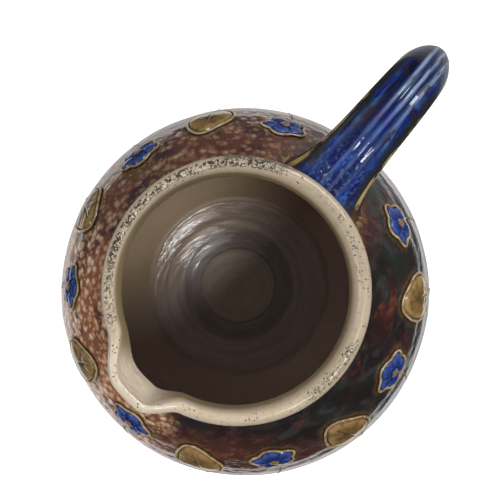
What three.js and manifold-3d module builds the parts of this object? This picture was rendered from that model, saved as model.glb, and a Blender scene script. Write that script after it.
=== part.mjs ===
// A salt-glazed stoneware jug: a thrown body with a flat base and a pulled lip, a pulled and ribbed handle
// luted to the neck and the belly, and applied leaves and flowers, each ringed by trailed slip with a stem.
// Millimetres, +Z up. The origin is the centre of the base on the table. The handle stands towards +X and the
// lip towards -X.
import * as THREE from "three";
import { mergeVertices } from "three/addons/utils/BufferGeometryUtils.js";
import Module from "manifold-3d";

const wasm = await Module();
wasm.setup();

// Body
const jugHeight = 165;
const bellyRadius = 70;
const bellyHeight = 82;
const neckRadius = 46.4;
const neckHeight = 150;
const rimRadius = 48;
const wall = 5.6;
const floorThickness = 8;
const floorRadius = 35; // where the floor turns up into the wall
const bellyLean = 3.5; // how far the thrown belly stands off the axis
const bellyLeanAngle = -75;

// How the wall's curve is drawn, as shares of the run between two of its points
const bellyFullness = 0.55; // how long the wall stays near its widest
const footFlare = 0.5;
const footRise = 0.2;
const neckSweep = 0.16;
const neckOpening = 0.08;
const neckWaist = 0.4; // how far up towards the rim's side the neck stays narrow
const rimSwell = 0.35; // how far below the rim's side the rim starts to swell
const rimSideShare = 0.75; // how far up from the neck to the top the rim is widest
const rimShoulder = 0.75; // how square the rim's outer shoulder is, upwards and inwards
const rimShoulderTop = 0.4;
const crestShare = 0.6; // how far out from the throat to the rim's side the rim is highest
const throatShoulder = 0.3;
const throatDrop = 0.5;

// Foot
const footRadius = 43;
const footHeight = 5;
const footBevel = 1;
const footGroove = 1.2; // depth of the turned line above the foot

// Throwing rings on the floor
const floorRingPitch = 7.5;
const floorRingHeight = 0.6;
const floorDish = 2.5; // how far the floor's middle lies below its edge

// Lip
const lipAngle = 174.5; // from the handle: the lip is a little off the handle's line
const lipReach = 7.4;
const lipRise = 1.5;
const lipTipWidth = 9.5;
const lipLongRun = 17.5; // the rim leaves the circle gently on the side that comes first
const lipShortRun = 13;
const lipDepth = 27; // how far down the wall the lip is pulled

// Handle
const handleWidth = 24.5; // near its upper root
const handleBendWidth = 19;
const handleEndWidth = 17;
const handleCrown = 10; // from the edges' line out to the back of the hand
const handlePalm = 3.5; // from the edges' line in to the palm side
const handleReach = 107; // axis of the jug to the edges' line at the outermost bend
const handleBendHeight = 112;
const handleRootHeight = 144;
const handleTopRise = 13; // how far the handle's arch climbs above its upper root
const handleFootHeight = 60;
const handleRootSpread = 0.35; // how much wider the clay is pressed out where it is luted on
const handleSpreadLength = 15;
const handleSpring = 0.42; // how far out the arch has run before it bends, as a share of the reach
const handleArchFullness = 0.55;
const handleShoulder = 0.12; // how high up the outermost bend stays full
const handleDrop = 0.62; // how far down the back runs straight before it turns in
const handleTurnIn = 0.45;
const handleRoundness = 0.75; // 0.5 is an ellipse across the crown, larger has leaner sides
const ribCount = 3;
const ribPitch = 3.4;
const ribHeight = 0.9;
const ribsOffMiddle = -1.4; // the fingers ran a little to one side

// Applied clay and trailed slip
const motifs = 13; // flowers and leaves in turn, a flower on each side of the handle
const motifMargin = 3.5; // plain glaze between the handle's upper root and the first flower
const leafWidth = 15;
const leafLength = 24;
const leafHeight = 117;
const leafTilt = 14;
const leafPoint = 0.35; // 0 is an oval, larger is more pointed
const leafStemEnd = 50; // height at which a leaf's stem runs out
const flowerRadius = 7;
const flowerHeight = 121;
const flowerTilt = 8;
const flowerPetals = 5;
const flowerPetalDepth = 0.11;
const flowerStemEnd = 68;
const padRise = 1.3;
const padEdge = 0.6;
const padShoulder = 0.6; // how far out from its middle a pad stays high
const padCrown = 0.8; // how much of its rise it has there
const padInnerRing = 0.55;
const slipWidth = 1.4;
const slipRise = 0.9;
const slipRoundness = 0.6; // how high the sides of the slip stand
const slipSideWidth = 0.84; // and how wide it still is there
const stemSway = 6;
const seatClearance = 0.3; // between what is luted or trailed on and what carries it

// How finely curves are faceted
const bodySides = 64;
const wallSteps = 14;
const rimSideSteps = 3;
const rimTopSteps = 7;
const innerWallSteps = 11;
const floorSteps = 14;
const handleSteps = 30;
const padSides = 20;
const stemSteps = 6;

const glaze = { roughness: 0.3, metalness: 0 };
const bodyGlaze = new THREE.MeshStandardMaterial({ color: 0x553b32, ...glaze });
const handleGlaze = new THREE.MeshStandardMaterial({ color: 0x24367f, ...glaze });
const leafGlaze = new THREE.MeshStandardMaterial({ color: 0xa0753a, ...glaze });
const flowerGlaze = new THREE.MeshStandardMaterial({ color: 0x2c4ba0, ...glaze });
const slipClay = new THREE.MeshStandardMaterial({ color: 0xc2ae88, ...glaze });

const { clamp, degToRad, euclideanModulo, lerp, smoothstep } = THREE.MathUtils;
const throatRadius = neckRadius - wall;
const rimSideHeight = lerp(neckHeight, jugHeight, rimSideShare);

function bezier(...points) {
  return new THREE.CubicBezierCurve(...points.map(([r, z]) => new THREE.Vector2(r, z)));
}

function joined(...curves) {
  const path = new THREE.CurvePath();
  curves.forEach((curve) => path.add(curve));
  return path;
}

// The outside of the wall from the turned line above the foot up to the neck, as radius and height.
function outerWall() {
  const below = bellyHeight - footHeight;
  const above = neckHeight - bellyHeight;
  const start = footRadius - footGroove;
  return joined(
    bezier(
      [start, footHeight],
      [lerp(start, bellyRadius, footFlare), footHeight + footRise * below],
      [bellyRadius, bellyHeight - bellyFullness * below],
      [bellyRadius, bellyHeight],
    ),
    bezier(
      [bellyRadius, bellyHeight],
      [bellyRadius, bellyHeight + bellyFullness * above],
      [neckRadius + neckOpening * above, neckHeight - neckSweep * above],
      [neckRadius, neckHeight],
    ),
  );
}

// The neck's waist and the side of the rim.
function rimSide() {
  const run = rimSideHeight - neckHeight;
  return bezier(
    [neckRadius, neckHeight],
    [neckRadius - neckOpening * wall, neckHeight + neckWaist * run],
    [rimRadius, rimSideHeight - rimSwell * run],
    [rimRadius, rimSideHeight],
  );
}

// Over the rounded rim and down inside to the throat.
function rimTop() {
  const crest = lerp(throatRadius, rimRadius, crestShare);
  return joined(
    bezier(
      [rimRadius, rimSideHeight],
      [rimRadius, lerp(rimSideHeight, jugHeight, rimShoulder)],
      [lerp(crest, rimRadius, rimShoulderTop), jugHeight],
      [crest, jugHeight],
    ),
    bezier(
      [crest, jugHeight],
      [lerp(throatRadius, crest, throatShoulder), jugHeight],
      [throatRadius, lerp(jugHeight, neckHeight, throatDrop)],
      [throatRadius, neckHeight],
    ),
  );
}

// The inside from the throat down to the edge of the floor.
function innerWall() {
  const belly = bellyRadius - wall;
  const floorEdge = floorThickness + floorDish;
  const above = neckHeight - bellyHeight;
  const below = bellyHeight - floorEdge;
  return joined(
    bezier(
      [throatRadius, neckHeight],
      [throatRadius + neckOpening * above, neckHeight - neckSweep * above],
      [belly, bellyHeight + bellyFullness * above],
      [belly, bellyHeight],
    ),
    bezier(
      [belly, bellyHeight],
      [belly, bellyHeight - bellyFullness * below],
      [lerp(floorRadius, belly, footFlare), floorEdge + footRise * below],
      [floorRadius, floorEdge],
    ),
  );
}

// The dished floor with its throwing rings, from inside its edge to the middle.
function floorLine() {
  return Array.from({ length: floorSteps }, (_, i) => {
    const share = 1 - (i + 1) / floorSteps;
    const ring = 0.5 * (1 - Math.cos((2 * Math.PI * share * floorRadius) / floorRingPitch));
    const fade = 1 - share ** 8;
    const height = floorThickness + floorDish * share ** 2 + floorRingHeight * ring * fade;
    return new THREE.Vector2(share * floorRadius, height);
  });
}

// The flat base, which a wire cut off the wheel, with its bevelled edge.
function footLine() {
  const corners = [
    [0, 0],
    [footRadius - footBevel, 0],
    [footRadius, footBevel],
    [footRadius, footHeight - footGroove],
  ];
  return corners.map(([r, z]) => new THREE.Vector2(r, z));
}

const wallOutline = outerWall();
const wallLength = wallOutline.getLength();
const outside = [
  ...wallOutline.getSpacedPoints(wallSteps),
  ...rimSide().getPoints(rimSideSteps).slice(1),
];

// What the potter's hands do to a round pot: the belly leans to one side and the lip is pulled out.
function shapedByHand(angle, radius, height) {
  const offLip = euclideanModulo(angle - degToRad(lipAngle) + Math.PI, 2 * Math.PI) - Math.PI;
  const run = offLip < 0 ? lipLongRun : lipShortRun;
  const fromTip = Math.abs(offLip) * rimRadius - lipTipWidth / 2;
  const upwards = smoothstep(height, jugHeight - lipDepth, jugHeight);
  const inWall = Math.min(1, radius / throatRadius);
  const pull = (1 - smoothstep(fromTip, 0, run)) * upwards * inWall;
  const lean = bellyLean * Math.sin(Math.PI * clamp(height / jugHeight, 0, 1)) ** 2;
  const leanAngle = degToRad(bellyLeanAngle);
  const reach = radius + lipReach * pull;
  return new THREE.Vector3(
    reach * Math.cos(angle) + lean * Math.cos(leanAngle),
    reach * Math.sin(angle) + lean * Math.sin(leanAngle),
    height + lipRise * pull * upwards,
  );
}

// Turns a profile about the axis and shapes the result by hand.
function thrown(profile) {
  const turned = new THREE.LatheGeometry(profile, bodySides);
  const places = turned.getAttribute("position");
  for (let i = 0; i < places.count; i++) {
    const angle = Math.atan2(-places.getZ(i), places.getX(i));
    const radius = Math.hypot(places.getX(i), places.getZ(i));
    const { x, y, z } = shapedByHand(angle, radius, places.getY(i));
    places.setXYZ(i, x, y, z);
  }
  turned.deleteAttribute("normal");
  turned.deleteAttribute("uv");
  return turned;
}

function thrownBody() {
  return thrown([
    ...footLine(),
    ...outside,
    ...rimTop().getSpacedPoints(rimTopSteps).slice(1),
    ...innerWall().getSpacedPoints(innerWallSteps).slice(1),
    ...floorLine(),
  ]);
}

// The outside of the body as a plain solid, grown by a clearance, which cuts what is luted to it.
function bodyCutter(clearance) {
  const grown = outside.map((point, i) => {
    const before = outside[Math.max(i - 1, 0)];
    const after = outside[Math.min(i + 1, outside.length - 1)];
    const along = after.clone().sub(before).normalize();
    return point.clone().add(new THREE.Vector2(along.y, -along.x).multiplyScalar(clearance));
  });
  return thrown([new THREE.Vector2(0, grown[0].y), ...grown, new THREE.Vector2(0, grown.at(-1).y)]);
}

// Skins rings of points into one closed surface. Each ring runs counterclockwise about the way to the next.
// A loop joins its last ring to its first; otherwise a fan about its middle closes each end.
function skin(rings, isLoop, firstMiddle, lastMiddle) {
  const sides = rings[0].length;
  const faces = [];
  const spans = isLoop ? rings.length : rings.length - 1;
  for (let i = 0; i < spans; i++) {
    const here = i * sides;
    const next = ((i + 1) % rings.length) * sides;
    for (let k = 0; k < sides; k++) {
      const on = (k + 1) % sides;
      faces.push(here + k, here + on, next + on, here + k, next + on, next + k);
    }
  }
  const points = rings.flat();
  if (!isLoop) {
    const first = points.push(firstMiddle ?? middleOf(rings[0])) - 1;
    const last = points.push(lastMiddle ?? middleOf(rings.at(-1))) - 1;
    const lastRing = (rings.length - 1) * sides;
    for (let k = 0; k < sides; k++) {
      const on = (k + 1) % sides;
      faces.push(first, on, k);
      faces.push(last, lastRing + k, lastRing + on);
    }
  }
  return new THREE.BufferGeometry().setFromPoints(points).setIndex(faces);
}

function middleOf(ring) {
  const sum = new THREE.Vector3();
  ring.forEach((point) => sum.add(point));
  return sum.divideScalar(ring.length);
}

function solid(geometry) {
  const merged = mergeVertices(geometry, 1e-4);
  return new wasm.Manifold(
    new wasm.Mesh({
      numProp: 3,
      vertProperties: merged.getAttribute("position").array,
      triVerts: new Uint32Array(merged.index.array),
    }),
  );
}

function geometryOf(manifold) {
  const mesh = manifold.getMesh();
  const geometry = new THREE.BufferGeometry();
  geometry.setAttribute("position", new THREE.BufferAttribute(mesh.vertProperties, 3));
  return geometry.setIndex(new THREE.BufferAttribute(mesh.triVerts, 1));
}

// The handle's line from inside the neck's wall, over its arch and its bend, to inside the belly's wall.
function handleLine() {
  const root = neckRadius - wall / 2;
  const end = bellyRadius - wall;
  const arch = handleRootHeight + handleTopRise;
  return joined(
    bezier(
      [root, handleRootHeight],
      [lerp(root, handleReach, handleSpring), arch + handleArchFullness * handleTopRise],
      [handleReach, lerp(arch, handleBendHeight, handleShoulder)],
      [handleReach, handleBendHeight],
    ),
    bezier(
      [handleReach, handleBendHeight],
      [handleReach, lerp(handleBendHeight, handleFootHeight, handleDrop)],
      [lerp(end, handleReach, handleTurnIn), handleFootHeight],
      [end, handleFootHeight],
    ),
  );
}

// One section of the handle, as points sideways and outwards, counterclockwise about the handle's run:
// over the domed crown with the ribs that fingers drew along it, and back across the flatter palm side.
function handleSection(half, spread) {
  const ribsWidth = ribCount * ribPitch;
  const stepsPerRib = 4;
  const ribSteps = stepsPerRib * ribCount;
  const sideSteps = 4;
  const palmSteps = 6;
  const across = [];
  for (let k = 0; k < sideSteps; k++) {
    across.push(lerp(half, ribsOffMiddle + ribsWidth / 2, k / sideSteps));
  }
  for (let k = 0; k <= ribSteps; k++) {
    across.push(ribsOffMiddle + ribsWidth * (0.5 - k / ribSteps));
  }
  for (let k = 1; k <= sideSteps; k++) {
    across.push(lerp(ribsOffMiddle - ribsWidth / 2, -half, k / sideSteps));
  }
  const crown = across.map((x, k) => {
    const rib = 0.5 * (1 - Math.cos((2 * Math.PI * (k - sideSteps)) / stepsPerRib));
    const onRibs = k > sideSteps && k < sideSteps + ribSteps;
    const dome = handleCrown * (1 - (x / half) ** 2) ** handleRoundness;
    return [x * (1 + spread * (x / half) ** 2), dome + (onRibs ? ribHeight * rib : 0)];
  });
  const palm = Array.from({ length: palmSteps - 1 }, (_, k) => {
    const turn = (Math.PI * (k + 1)) / palmSteps;
    return [-half * (1 + spread) * Math.cos(turn), -handlePalm * Math.sin(turn)];
  });
  return [...crown, ...palm];
}

function pulledHandle() {
  const line = handleLine();
  const length = line.getLength();
  const widths = new THREE.SplineCurve(
    [handleWidth, handleBendWidth, handleEndWidth].map((width, i) => new THREE.Vector2(i / 2, width)),
  );
  const rings = Array.from({ length: handleSteps + 1 }, (_, i) => {
    const share = i / handleSteps;
    const at = line.getPointAt(share);
    const along = line.getTangentAt(share);
    const fromRoot = Math.min(share, 1 - share) * length;
    const spread = handleRootSpread * Math.exp(-((fromRoot / handleSpreadLength) ** 2));
    return handleSection(widths.getPoint(share).y / 2, spread).map(
      ([across, out]) => new THREE.Vector3(at.x - along.y * out, across, at.y + along.x * out),
    );
  });
  return geometryOf(solid(skin(rings, false)).subtract(solid(bodyCutter(seatClearance))));
}

// The share of the wall's outline that lies below a height.
function alongAt(height) {
  let low = 0;
  let high = 1;
  while (high - low > 1e-6) {
    const middle = (low + high) / 2;
    if (wallOutline.getPointAt(middle).y < height) low = middle;
    else high = middle;
  }
  return low;
}

// A patch of the body round an ornament's middle: x runs round the pot and y up the wall, in millimetres.
function patch(angle, height) {
  const middle = alongAt(height);
  return (x, y, lift) => {
    const along = clamp(middle + y / wallLength, 0, 1);
    const at = wallOutline.getPointAt(along);
    const slope = wallOutline.getTangentAt(along);
    return shapedByHand(angle + x / at.x, at.x + slope.y * lift, at.y - slope.x * lift);
  };
}

// The edges of the ornaments, counterclockwise from the top. A leaf is a drop and a flower has round petals.
function leafEdge(turn) {
  const half = (leafWidth / 2) * (1 - leafPoint * Math.cos(turn));
  return new THREE.Vector2(-half * Math.sin(turn), (leafLength / 2) * Math.cos(turn));
}

function flowerEdge(turn) {
  const radius = flowerRadius * (1 + flowerPetalDepth * Math.cos(flowerPetals * turn));
  return new THREE.Vector2(-radius * Math.sin(turn), radius * Math.cos(turn));
}

function outwardsFrom(edge, turn) {
  const along = edge(turn + 1e-3).sub(edge(turn - 1e-3)).normalize();
  return new THREE.Vector2(along.y, -along.x);
}

const turns = Array.from({ length: padSides }, (_, k) => (2 * Math.PI * k) / padSides);

// A domed pad of applied clay that follows the wall.
function clayPad(place, edge) {
  const ring = (share, lift) => turns.map((turn) => place(...edge(turn).multiplyScalar(share), lift));
  const top = seatClearance + padRise;
  const rings = [
    ring(padInnerRing, seatClearance),
    ring(1, seatClearance),
    ring(1, seatClearance + padEdge),
    ring(padShoulder, lerp(seatClearance + padEdge, top, padCrown)),
  ];
  return skin(rings, false, place(0, 0, seatClearance), place(0, 0, top));
}

// The section of a line of trailed slip, flat on its seat and round on top, at a point of a patch.
function slipRing(place, point, side) {
  const section = [
    [1, 0],
    [slipSideWidth, slipRoundness],
    [0, 1],
    [-slipSideWidth, slipRoundness],
    [-1, 0],
  ];
  return section.map(([across, rise]) => {
    const at = point.clone().addScaledVector(side, (across * slipWidth) / 2);
    return place(at.x, at.y, seatClearance + rise * slipRise);
  });
}

// The slip that rings an ornament's edge, with the stem that leaves its lower end and sways down the wall.
function slipLine(place, edge, drop, sway) {
  const gap = seatClearance + slipWidth / 2;
  const ringed = turns.map((turn) => {
    const out = outwardsFrom(edge, turn);
    return slipRing(place, edge(turn).addScaledVector(out, gap), out.negate());
  });
  const down = outwardsFrom(edge, Math.PI);
  const start = edge(Math.PI).addScaledVector(down, gap);
  const third = (drop + start.y) / 3;
  const stem = new THREE.CubicBezierCurve(
    start,
    start.clone().addScaledVector(down, third),
    new THREE.Vector2(sway, third - drop),
    new THREE.Vector2(0, -drop),
  );
  const trail = stem.getSpacedPoints(stemSteps).map((point, i) => {
    const along = stem.getTangentAt(i / stemSteps);
    return slipRing(place, point, new THREE.Vector2(-along.y, along.x));
  });
  return geometryOf(solid(skin(ringed, true)).add(solid(skin(trail, false))));
}

function tilted(edge, degrees) {
  const origin = new THREE.Vector2();
  return (turn) => edge(turn).rotateAround(origin, degToRad(degrees));
}

function named(name, geometry, material) {
  const mesh = new THREE.Mesh(geometry, material);
  mesh.name = name;
  return mesh;
}

const leaf = {
  edge: leafEdge,
  height: leafHeight,
  tilt: leafTilt,
  stemEnd: leafStemEnd,
  glaze: leafGlaze,
};
const flower = {
  edge: flowerEdge,
  height: flowerHeight,
  tilt: flowerTilt,
  stemEnd: flowerStemEnd,
  glaze: flowerGlaze,
};

// The pad and the slip of one ornament, named by its kind and number.
function ornament(name, kind, angle, sways) {
  const place = patch(angle, kind.height);
  const edge = tilted(kind.edge, -sways * kind.tilt);
  const drop = (alongAt(kind.height) - alongAt(kind.stemEnd)) * wallLength;
  return [
    named(name, clayPad(place, edge), kind.glaze),
    named(`${name}_slip`, slipLine(place, edge, drop, sways * stemSway), slipClay),
  ];
}

const jug = new THREE.Group();
jug.add(named("thrown_body", thrownBody(), bodyGlaze));
jug.add(named("pulled_handle", pulledHandle(), handleGlaze));

const rootHalf = (handleWidth / 2) * (1 + handleRootSpread);
const flowerHalf = flowerRadius * (1 + flowerPetalDepth) + seatClearance + slipWidth;
const wallRadius = wallOutline.getPointAt(alongAt(flowerHeight)).x;
const firstAngle = (rootHalf + motifMargin + flowerHalf) / wallRadius;
const pitch = (2 * Math.PI - 2 * firstAngle) / (motifs - 1);
for (let i = 0; i < motifs; i++) {
  const isFlower = i % 2 === 0;
  const name = `${isFlower ? "flower" : "leaf"}_${Math.floor(i / 2) + 1}`;
  const sways = i < motifs / 2 ? 1 : -1;
  jug.add(...ornament(name, isFlower ? flower : leaf, firstAngle + i * pitch, sways));
}

export default jug;
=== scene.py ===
import math

import bpy
import numpy as np
from mathutils import Euler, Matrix, Vector, kdtree, noise


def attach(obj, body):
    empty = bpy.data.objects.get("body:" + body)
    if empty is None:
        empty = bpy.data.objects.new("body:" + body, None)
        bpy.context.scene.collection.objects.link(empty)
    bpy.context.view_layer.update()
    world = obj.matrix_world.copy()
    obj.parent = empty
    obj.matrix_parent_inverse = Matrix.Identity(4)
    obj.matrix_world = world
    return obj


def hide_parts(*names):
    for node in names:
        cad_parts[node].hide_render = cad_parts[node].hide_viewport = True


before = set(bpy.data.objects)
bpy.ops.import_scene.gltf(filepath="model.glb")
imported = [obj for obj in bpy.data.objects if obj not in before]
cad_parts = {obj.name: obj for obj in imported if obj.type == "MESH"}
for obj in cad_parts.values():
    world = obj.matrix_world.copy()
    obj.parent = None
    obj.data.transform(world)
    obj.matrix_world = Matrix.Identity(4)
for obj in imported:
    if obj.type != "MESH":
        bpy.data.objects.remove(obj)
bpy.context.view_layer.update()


# The view
# The camera hangs straight over the mouth, a metre above the rim, and is turned so that the handle points to
# the upper right of the picture.
handle_in_picture = math.radians(49.4)
rim_level = 0.165
camera_over_rim = 1.0
picture_width_at_rim = 0.1765
picture_middle = (0.01407, 0.00578)
film_width = 36


def placed(name, data):
    made = bpy.data.objects.new(name, data)
    bpy.context.scene.collection.objects.link(made)
    return made


camera_data = bpy.data.cameras.new("camera")
camera_data.sensor_width = film_width
camera_data.lens = film_width * camera_over_rim / picture_width_at_rim
camera = placed("camera", camera_data)
camera.location = (*picture_middle, rim_level + camera_over_rim)
camera.rotation_euler = Euler((0, 0, -handle_in_picture))
bpy.context.scene.camera = camera


# Thrown body
# A stoneware pot thrown in one piece and cut off the wheel with a wire. Its lip was pulled out of the rim
# while the clay was wet. Brown and dark salt glaze runs over the outside, the rim and the inside are cream,
# and the base is bare.
jug_height = 0.165
belly_radius = 0.070
belly_height = 0.082
neck_radius = 0.0464
neck_height = 0.150
rim_radius = 0.048
wall = 0.0056
floor_thickness = 0.008
floor_radius = 0.035
foot_radius = 0.043
foot_height = 0.005
foot_bevel = 0.001
foot_groove = 0.0012
belly_fullness = 0.55
foot_flare = 0.5
foot_rise = 0.2
neck_sweep = 0.16
neck_opening = 0.08
floor_ring_pitch = 0.0075
floor_ring_height = 0.00034
disc_radius = 0.015  # the plain disc in the middle of the floor
disc_edge = (0.003, 0.008)  # how far outside it the throwing rings come in
floor_dish = 0.0025
belly_lean = 0.0035
belly_lean_angle = math.radians(-75)
lip_angle = math.radians(174.5)
lip_reach = 0.0074
lip_rise = 0.0015
lip_tip_width = 0.0095
lip_long_run = 0.0175
lip_short_run = 0.013
lip_depth = 0.027
lip_thinning = 0.0014  # how much thinner the wall was pulled at the lip
thinned_beside = (0.004, 0.016)  # where the thinning fades along the rim, measured from the lip's tip
thinned_inside = (-0.001, 0.004)  # where it comes in, measured inwards over the crest
thinned_full_depth = 0.006  # how far under the rim's top it is full
throat_shift = 0.0010  # the mouth's inside was thrown a little off its outside
throat_shift_angle = math.radians(130)
throat_shift_depth = 0.040
throat_shift_run = 0.007  # how far inside the crest the shift is full
body_sides = 340
finger_marks = 0.00028  # how far the wall wanders where fingers pressed it
glaze_waves = 0.00006  # how thick the glaze lies in its short runs
marks_close = 38  # how close together the marks, the throwing rings and the runs lie: more is closer
rings_close = 620
waves_close = 210
waves_long = 0.6  # how much the runs are drawn out down the wall: less is longer
rings_share = 0.35  # how far a throwing ring stands out, as a share of a finger mark
uneven_from_foot = (0.006, 0.020)  # between which heights the unevenness comes in
uneven_from_crest = (0.004, 0.018)  # and between which distances from the crest it grows to its full
uneven_on_crest = 0.35  # how much of it is left on the crest

throat_radius = neck_radius - wall
rim_side_height = neck_height + 0.75 * (jug_height - neck_height)
crest_radius = throat_radius + 0.6 * (rim_radius - throat_radius)


def lerp(a, b, share):
    return a + (b - a) * share


def smoothstep(value, low, high):
    share = np.clip((value - low) / (high - low), 0, 1)
    return share * share * (3 - 2 * share)


def curve(*controls):
    """A cubic curve from its first control point to its last, as many close points."""
    a, b, c, d = (np.array(point, float) for point in controls)
    t = np.linspace(0, 1, 300)[:, None]
    return (1 - t) ** 3 * a + 3 * t * (1 - t) ** 2 * b + 3 * t**2 * (1 - t) * c + t**3 * d


def lengths(points):
    steps = np.linalg.norm(np.diff(points, axis=0), axis=1)
    return np.concatenate([[0], np.cumsum(steps)])


def spaced(points, pitch):
    """The same line with points about one pitch apart, without its first point."""
    run = lengths(points)
    stops = np.linspace(0, run[-1], max(2, round(run[-1] / pitch) + 1))[1:]
    return np.stack([np.interp(stops, run, points[:, k]) for k in range(points.shape[1])], axis=1)


def foot_line():
    corners = [
        (0, 0),
        (foot_radius - 3 * foot_bevel, 0),
        (foot_radius - foot_bevel, 0),
        (foot_radius, foot_bevel),
        (foot_radius, foot_height - foot_groove),
        (foot_radius - foot_groove, foot_height),
    ]
    flat = spaced(np.array(corners[:2]), pitch=0.0020)
    edge = spaced(np.array(corners[1:]), pitch=0.0006)
    for _ in range(2):
        edge[1:-1] = (edge[:-2] + 2 * edge[1:-1] + edge[2:]) / 4
    return np.concatenate([flat, edge])


def outer_wall():
    below = belly_height - foot_height
    above = neck_height - belly_height
    start = foot_radius - foot_groove
    lower = curve(
        (start, foot_height),
        (lerp(start, belly_radius, foot_flare), foot_height + foot_rise * below),
        (belly_radius, belly_height - belly_fullness * below),
        (belly_radius, belly_height),
    )
    upper = curve(
        (belly_radius, belly_height),
        (belly_radius, belly_height + belly_fullness * above),
        (neck_radius + neck_opening * above, neck_height - neck_sweep * above),
        (neck_radius, neck_height),
    )
    return np.concatenate([lower, upper[1:]])


def rim_side():
    run = rim_side_height - neck_height
    return curve(
        (neck_radius, neck_height),
        (neck_radius - neck_opening * wall, neck_height + 0.4 * run),
        (rim_radius, rim_side_height - 0.35 * run),
        (rim_radius, rim_side_height),
    )


def rim_top():
    outer = curve(
        (rim_radius, rim_side_height),
        (rim_radius, lerp(rim_side_height, jug_height, 0.75)),
        (lerp(crest_radius, rim_radius, 0.4), jug_height),
        (crest_radius, jug_height),
    )
    inner = curve(
        (crest_radius, jug_height),
        (lerp(throat_radius, crest_radius, 0.3), jug_height),
        (throat_radius, lerp(neck_height, jug_height, 0.5)),
        (throat_radius, neck_height),
    )
    return outer, inner


def inner_wall():
    belly = belly_radius - wall
    floor_edge = floor_thickness + floor_dish
    above = neck_height - belly_height
    below = belly_height - floor_edge
    upper = curve(
        (throat_radius, neck_height),
        (throat_radius + neck_opening * above, neck_height - neck_sweep * above),
        (belly, belly_height + belly_fullness * above),
        (belly, belly_height),
    )
    lower = curve(
        (belly, belly_height),
        (belly, belly_height - belly_fullness * below),
        (lerp(floor_radius, belly, foot_flare), floor_edge + foot_rise * below),
        (floor_radius, floor_edge),
    )
    return np.concatenate([upper, lower[1:]])


def floor_line():
    share = np.linspace(1, 0, 300)
    ring = 0.5 * (1 - np.cos(2 * np.pi * share * floor_radius / floor_ring_pitch))
    ring *= smoothstep(share * floor_radius, disc_radius + disc_edge[0], disc_radius + disc_edge[1])
    height = floor_thickness + floor_dish * share**2 + floor_ring_height * ring * (1 - share**8)
    return np.stack([share * floor_radius, height], axis=1)


def turned_from(angle, middle):
    """How far an angle lies from the middle, at most half a turn either way."""
    return np.mod(angle - middle + np.pi, 2 * np.pi) - np.pi


def leaned(height):
    """How far the wall has leaned sideways at a height, in x and in y."""
    lean = belly_lean * np.sin(np.pi * np.clip(height / jug_height, 0, 1)) ** 2
    return lean * math.cos(belly_lean_angle), lean * math.sin(belly_lean_angle)


def by_hand(angle, radius, height):
    """Where a point of the round pot ends up once the lip is pulled and the belly has leaned."""
    off_lip = turned_from(angle, lip_angle)
    run = np.where(off_lip < 0, lip_long_run, lip_short_run)
    from_tip = np.abs(off_lip) * rim_radius - lip_tip_width / 2
    upwards = smoothstep(height, jug_height - lip_depth, jug_height)
    in_wall = np.minimum(1, radius / throat_radius)
    pull = (1 - smoothstep(from_tip / run, 0, 1)) * upwards * in_wall
    lean_x, lean_y = leaned(height)
    reach = radius + lip_reach * pull
    x = reach * np.cos(angle) + lean_x
    y = reach * np.sin(angle) + lean_y
    return np.stack([x, y, height + lip_rise * pull * upwards], axis=-1)


def unevenness(points):
    """How far the surface stands out at each point: soft finger marks, throwing rings and runs of glaze."""
    out = np.empty(len(points))
    for i, point in enumerate(points):
        at = Vector(point)
        marks = noise.noise(at * marks_close)
        rings = rings_share * math.sin(at.z * rings_close + 2 * noise.noise(at * 20))
        waves = noise.noise(Vector((at.x, at.y, waves_long * at.z)) * waves_close)
        out[i] = finger_marks * (marks + rings) + glaze_waves * waves
    return out


def normals_of(line):
    """Outward directions of a profile that is followed from the underside up, over the rim and down."""
    along = np.gradient(line, axis=0)
    along /= np.linalg.norm(along, axis=1)[:, None]
    return np.stack([along[:, 1], -along[:, 0]], axis=1)


def mesh_object(name, points, faces, smooth=True):
    mesh = bpy.data.meshes.new(name)
    mesh.from_pydata([tuple(p) for p in points], [], faces)
    if smooth:
        mesh.shade_smooth()
    return placed(name, mesh)


def paint(piece, name, values):
    """Stores a value or a direction at each point of a piece, for its material."""
    kind, field = ("FLOAT", "value") if np.ndim(values) == 1 else ("FLOAT_VECTOR", "vector")
    layer = piece.data.attributes.new(name, kind, "POINT")
    layer.data.foreach_set(field, np.asarray(values, np.float32).ravel())


def ring_faces(rows, sides):
    """Faces between rows of points that each go once round. They face outwards if the rows go upwards."""
    row, side = np.meshgrid(np.arange(rows - 1), np.arange(sides), indexing="ij")
    here, on = row * sides + side, row * sides + (side + 1) % sides
    return np.stack([here, on, on + sides, here + sides], axis=-1).reshape(-1, 4).tolist()


def capped_rings(rows, sides):
    """Ring faces, closed at both ends by a middle point: the first row's, then the last row's."""
    faces = ring_faces(rows, sides)
    first_middle, last_middle, last_row = rows * sides, rows * sides + 1, (rows - 1) * sides
    for side in range(sides):
        on = (side + 1) % sides
        faces.append([first_middle, on, side])
        faces.append([last_middle, last_row + side, last_row + on])
    return faces


rim_outside, rim_inside = rim_top()
rising = [
    foot_line(),
    spaced(outer_wall(), pitch=0.0016),
    spaced(rim_side(), pitch=0.0008),
    spaced(rim_outside, pitch=0.0006),
]
falling = [
    spaced(rim_inside, pitch=0.0007),
    spaced(inner_wall(), pitch=0.0022),
    spaced(floor_line(), pitch=0.0012),
]
profile = np.concatenate(rising + falling)
crest_row = sum(len(part) for part in rising) - 1
along_profile = lengths(profile)
from_crest = along_profile[crest_row] - along_profile
profile_out = normals_of(profile)

rows = len(profile) - 1
turn = 2 * np.pi * np.arange(body_sides) / body_sides
angles = np.tile(turn, rows)
radii = np.repeat(profile[:rows, 0], body_sides)
heights = np.repeat(profile[:rows, 1], body_sides)
out_r = np.repeat(profile_out[:rows, 0], body_sides)
out_z = np.repeat(profile_out[:rows, 1], body_sides)
crest_distance = np.repeat(from_crest[:rows], body_sides)

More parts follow.
